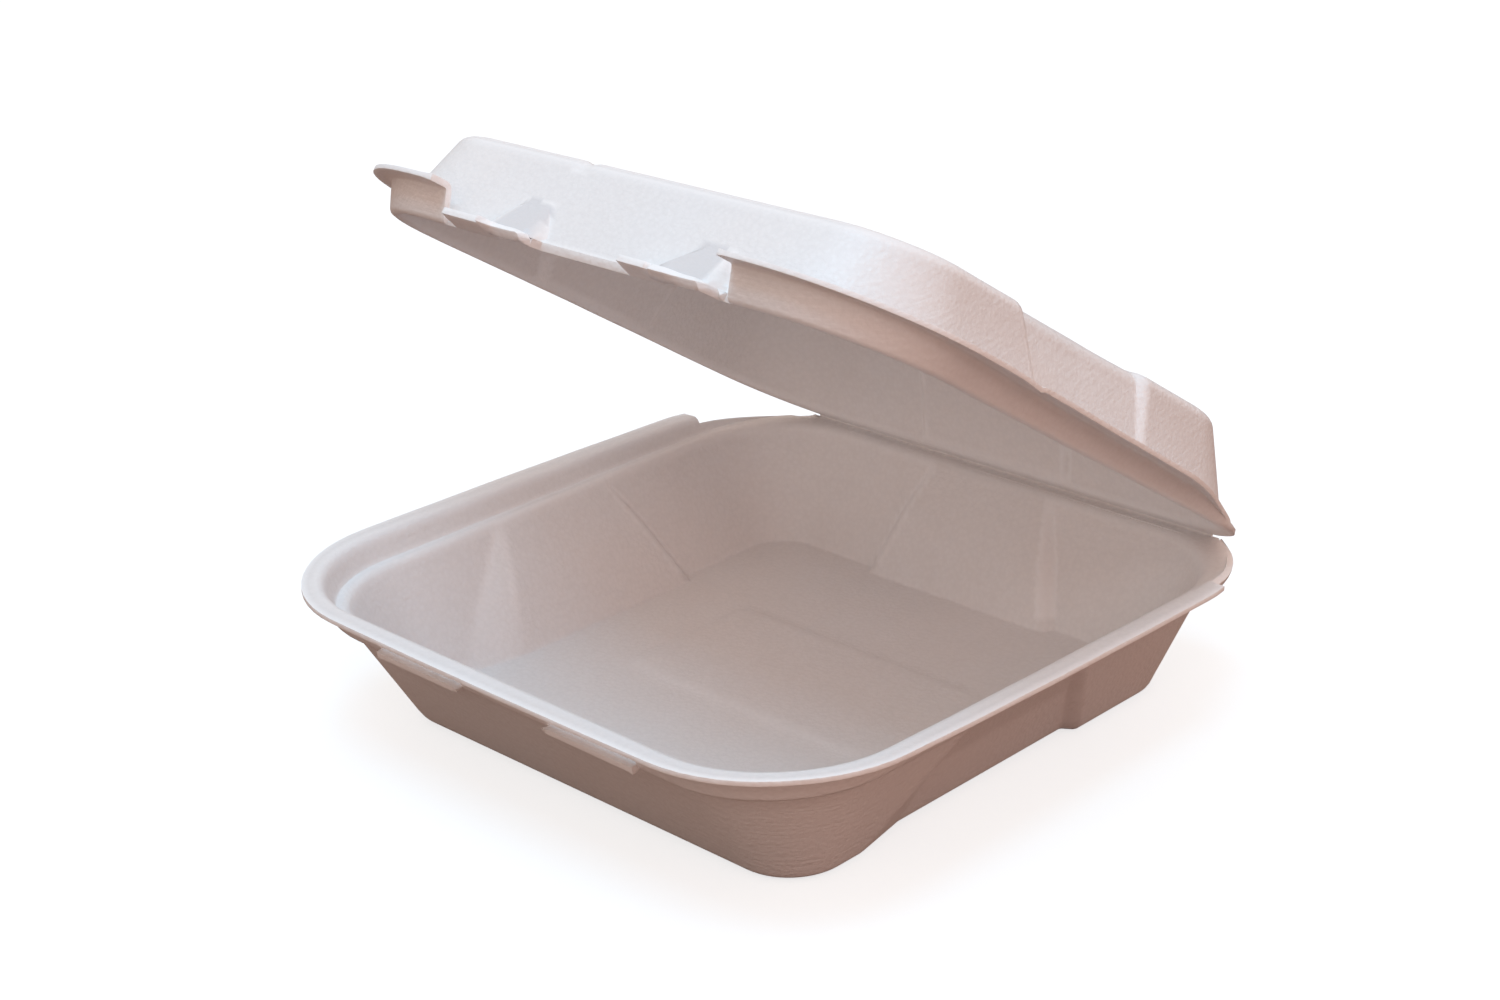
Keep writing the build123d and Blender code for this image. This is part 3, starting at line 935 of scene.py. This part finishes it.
class Wire:
    """A shader socket that takes part in Python sums."""

    def __init__(self, paint, socket):
        self.paint = paint
        self.socket = socket

    def sum(self, operation, first, second):
        return self.paint.node("ShaderNodeMath", {"operation": operation}, {0: first, 1: second})

    def __add__(self, other):
        return self.sum("ADD", self, other)

    def __radd__(self, other):
        return self.sum("ADD", other, self)

    def __sub__(self, other):
        return self.sum("SUBTRACT", self, other)

    def __rsub__(self, other):
        return self.sum("SUBTRACT", other, self)

    def __mul__(self, other):
        return self.sum("MULTIPLY", self, other)

    def __rmul__(self, other):
        return self.sum("MULTIPLY", other, self)


class Paint:
    """The nodes of one material or world."""

    def __init__(self, store, name):
        self.owner = store.new(name)
        self.owner.use_nodes = True
        self.tree = self.owner.node_tree
        self.tree.nodes.clear()

    def node(self, kind, settings=None, inputs=None, output=0):
        made = self.tree.nodes.new(kind)
        for name, value in (settings or {}).items():
            setattr(made, name, value)
        for name, value in (inputs or {}).items():
            self.plug(made.inputs[name], value)
        return Wire(self, made.outputs[output]) if made.outputs else None

    def plug(self, socket, value):
        if isinstance(value, Wire):
            self.tree.links.new(value.socket, socket)
        elif isinstance(value, tuple) and len(value) == 3 and socket.type == "RGBA":
            socket.default_value = (*value, 1)
        else:
            socket.default_value = value

    def mix(self, factor, first, second):
        """A Mix node for colours, whose sockets for the factor, the two colours and the result go by number."""
        return self.node("ShaderNodeMix", {"data_type": "RGBA"}, {0: factor, 6: first, 7: second}, output=2)

    def finish(self, shader, kind="ShaderNodeOutputMaterial"):
        self.node(kind, {}, {"Surface": shader})
        return self.owner


def foam_finish(colours):
    """The skin of formed foam: pressed beads, faint drawing streaks, a satin sheen and open cells at cuts, with
    a painted highlight along the creases and painted shade on the wedges' faces.
    """
    paint = Paint(bpy.data.materials, "formed_foam")
    place = paint.node("ShaderNodeTexCoord", output="Object")
    drawn = paint.node("ShaderNodeMapping", {}, {"Vector": place, "Scale": (60.0, 60.0, 900.0)})

    def speckle(where, scale):
        return paint.node("ShaderNodeTexNoise", {}, {"Vector": where, "Scale": scale, "Detail": 2.0})

    def share(value, low, high):
        return paint.node("ShaderNodeMapRange", {}, {"Value": value, "From Min": low, "From Max": high})

    def noted(name):
        return paint.node("ShaderNodeAttribute", {"attribute_name": name}, output="Fac")

    patches = speckle(place, 11.0)
    grain = speckle(place, 1500.0)
    streaks = speckle(drawn, 1.0)
    bead_inputs = {"Vector": place, "Scale": 620.0, "Smoothness": 0.6}
    beads = paint.node("ShaderNodeTexVoronoi", {"feature": "SMOOTH_F1"}, bead_inputs)
    cut = noted("cut_edge")
    # The crease mark is where the creases are lightened as a painted highlight.
    crease = noted("crease")
    # The pressed mark picks the wedges' faces, which get painted shade.
    pressed = noted("pressed")
    warm = share(patches, 0.42, 0.68)
    cells = share(beads, 0.20, 0.70)
    skin = paint.mix(warm * 0.55, tuple(colours.foam), tuple(colours.foam_warm))
    skin = paint.mix(cells * 0.22, skin, tuple(colours.foam_beads))
    skin = paint.mix(grain * 0.10, skin, WHITE)
    # Painted highlight along the creases, kept off the wedges.
    skin = paint.mix(crease * (1 - pressed) * 0.5, skin, tuple(colours.cut_cells_and_crease_highlight))
    # Painted shade: the wedges' faces are darkened.
    skin = paint.mix(pressed * 0.9, skin, tuple(colours.wedge_painted_shade))
    skin = paint.mix(cut * 0.8, skin, tuple(colours.cut_cells_and_crease_highlight))
    rough = 0.36 + patches * 0.10 + cells * 0.08 + cut * 0.25 - crease * 0.10
    height = beads * -0.6 + grain * 0.4 + streaks * 0.5
    bump = paint.node("ShaderNodeBump", {}, {"Height": height, "Strength": 0.45, "Distance": 0.0005})
    shader = paint.node(
        "ShaderNodeBsdfPrincipled",
        {},
        {
            "Base Color": skin,
            "Roughness": rough,
            "Normal": bump,
            "IOR": 1.45,
            "Specular IOR Level": 0.6,
            "Sheen Weight": 0.12,
            "Sheen Roughness": 0.4,
        },
    )
    return paint.finish(shader)


def foam_material(colours):
    known = bpy.data.materials.get("formed_foam")
    return known if known else foam_finish(colours)


# The studio


def floor_finish(colours):
    """A pale floor whose bounced light is darker and warmer."""
    paint = Paint(bpy.data.materials, "studio_floor")
    matt = paint.node("ShaderNodeBsdfDiffuse", {}, {"Color": tuple(colours.floor_seen)})
    glow = paint.node("ShaderNodeEmission", {}, {"Color": WHITE, "Strength": FLOOR_GLOW})
    seen = paint.node("ShaderNodeAddShader", {}, {0: matt, 1: glow})
    bounced = paint.node("ShaderNodeBsdfDiffuse", {}, {"Color": tuple(colours.floor_bounce)})
    camera_ray = paint.node("ShaderNodeLightPath", output="Is Camera Ray")
    return paint.finish(paint.node("ShaderNodeMixShader", {}, {0: camera_ray, 1: bounced, 2: seen}))


def add_light(name, place, width, power, colour):
    """A square light that faces the container."""
    lamp = bpy.data.lights.new(name, "AREA")
    lamp.size = width
    lamp.energy = power
    lamp.color = colour
    holder = bpy.data.objects.new(name, lamp)
    bpy.context.scene.collection.objects.link(holder)
    holder.location = place
    holder.rotation_euler = (LIGHTS_AIM - Vector(place)).to_track_quat("-Z", "Y").to_euler()


def make_room(scene, colours):
    """Faint even light all round, with a white background."""
    paint = Paint(bpy.data.worlds, "studio_room")
    lit = paint.node("ShaderNodeBackground", {}, {"Color": tuple(colours.room), "Strength": ROOM_STRENGTH})
    seen = paint.node("ShaderNodeBackground", {}, {"Color": WHITE, "Strength": 1.0})
    camera_ray = paint.node("ShaderNodeLightPath", output="Is Camera Ray")
    both = paint.node("ShaderNodeMixShader", {}, {0: camera_ray, 1: lit, 2: seen})
    scene.world = paint.finish(both, "ShaderNodeOutputWorld")


def make_camera(scene):
    """A camera above the front right corner, as in the picture."""
    level = Vector((-sin(CAMERA_YAW), cos(CAMERA_YAW), 0))
    ahead = level * cos(CAMERA_PITCH) + Vector((0, 0, -sin(CAMERA_PITCH)))
    right = Vector((cos(CAMERA_YAW), sin(CAMERA_YAW), 0))
    up = right.cross(ahead)
    turned_right = cos(CAMERA_ROLL) * right + sin(CAMERA_ROLL) * up
    turned_up = -sin(CAMERA_ROLL) * right + cos(CAMERA_ROLL) * up
    data = bpy.data.cameras.new("studio_camera")
    data.sensor_width = SENSOR_WIDTH
    data.lens = FOCAL_PIXELS / PICTURE_WIDTH * SENSOR_WIDTH
    data.shift_x = SHIFT_PIXELS[0] / PICTURE_WIDTH
    data.shift_y = SHIFT_PIXELS[1] / PICTURE_WIDTH
    holder = bpy.data.objects.new("studio_camera", data)
    scene.collection.objects.link(holder)
    columns = Matrix((turned_right, turned_up, -ahead)).transposed()
    holder.matrix_world = Matrix.Translation(CAMERA_PLACE) @ columns.to_4x4()
    scene.camera = holder


# Operators


class FOAM_OT_tray(bpy.types.Operator):
    """Make the formed tray with its ledge, lip, flange and catch slots"""

    bl_idname = "foam.make_tray"
    bl_label = "Tray"

    def execute(self, context):
        scene = context.scene
        piece = make_tray_piece(scene.foam_sizes)
        piece.data.materials.append(foam_material(scene.foam_colours))
        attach(piece, "tray")
        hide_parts("tray")
        return {"FINISHED"}


class FOAM_OT_lid(bpy.types.Operator):
    """Make the formed lid with its cut-out, tongues and wedges, standing open"""

    bl_idname = "foam.make_lid"
    bl_label = "Lid"

    def execute(self, context):
        scene = context.scene
        piece = make_lid_piece(scene.foam_sizes, LID_OPENING)
        piece.data.materials.append(foam_material(scene.foam_colours))
        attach(piece, "lid")
        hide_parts("lid")
        return {"FINISHED"}


class FOAM_OT_crease(bpy.types.Operator):
    """Make the thin crease that joins the lid to the tray"""

    bl_idname = "foam.make_crease"
    bl_label = "Hinge crease"

    def execute(self, context):
        scene = context.scene
        sizes = scene.foam_sizes
        piece = make_crease_piece(sizes, LID_OPENING)
        piece.data.materials.append(foam_material(scene.foam_colours))
        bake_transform(piece)
        return {"FINISHED"}


class FOAM_OT_studio(bpy.types.Operator):
    """Make the floor, the lights and the camera"""

    bl_idname = "foam.make_studio"
    bl_label = "Studio"

    def execute(self, context):
        scene = context.scene
        colours = scene.foam_colours
        clear_selection()
        bpy.ops.mesh.primitive_plane_add(size=16, location=(0, 0, -0.0002))
        floor = bpy.context.object
        floor.name = "studio_floor"
        floor.data.materials.append(floor_finish(colours))
        for name, (place, width, power, colour) in LIGHTS.items():
            add_light(name, place, width, power, tuple(getattr(colours, colour)))
        make_room(scene, colours)
        make_camera(scene)
        scene.view_settings.view_transform = "Standard"
        return {"FINISHED"}


class FOAM_PT_panel(bpy.types.Panel):
    """The container's pieces and its sizes"""

    bl_idname = "FOAM_PT_panel"
    bl_label = "Foam container"
    bl_space_type = "VIEW_3D"
    bl_region_type = "UI"
    bl_category = "Foam container"

    def draw(self, context):
        layout = self.layout
        for step in STEPS:
            layout.operator(step.bl_idname, text=step.bl_label)
        for group in (context.scene.foam_sizes, context.scene.foam_colours):
            for name in group.__annotations__:
                layout.prop(group, name)


STEPS = (FOAM_OT_tray, FOAM_OT_lid, FOAM_OT_crease, FOAM_OT_studio)
CLASSES = (FoamSizes, FoamColours, *STEPS, FOAM_PT_panel)


def register():
    for kind in CLASSES:
        bpy.utils.register_class(kind)
    bpy.types.Scene.foam_sizes = bpy.props.PointerProperty(type=FoamSizes)
    bpy.types.Scene.foam_colours = bpy.props.PointerProperty(type=FoamColours)


def unregister():
    del bpy.types.Scene.foam_colours
    del bpy.types.Scene.foam_sizes
    for kind in reversed(CLASSES):
        bpy.utils.unregister_class(kind)


def main():
    register()
    bpy.ops.foam.make_tray()
    bpy.ops.foam.make_lid()
    bpy.ops.foam.make_crease()
    bpy.ops.foam.make_studio()


if __name__ == "__main__":
    main()
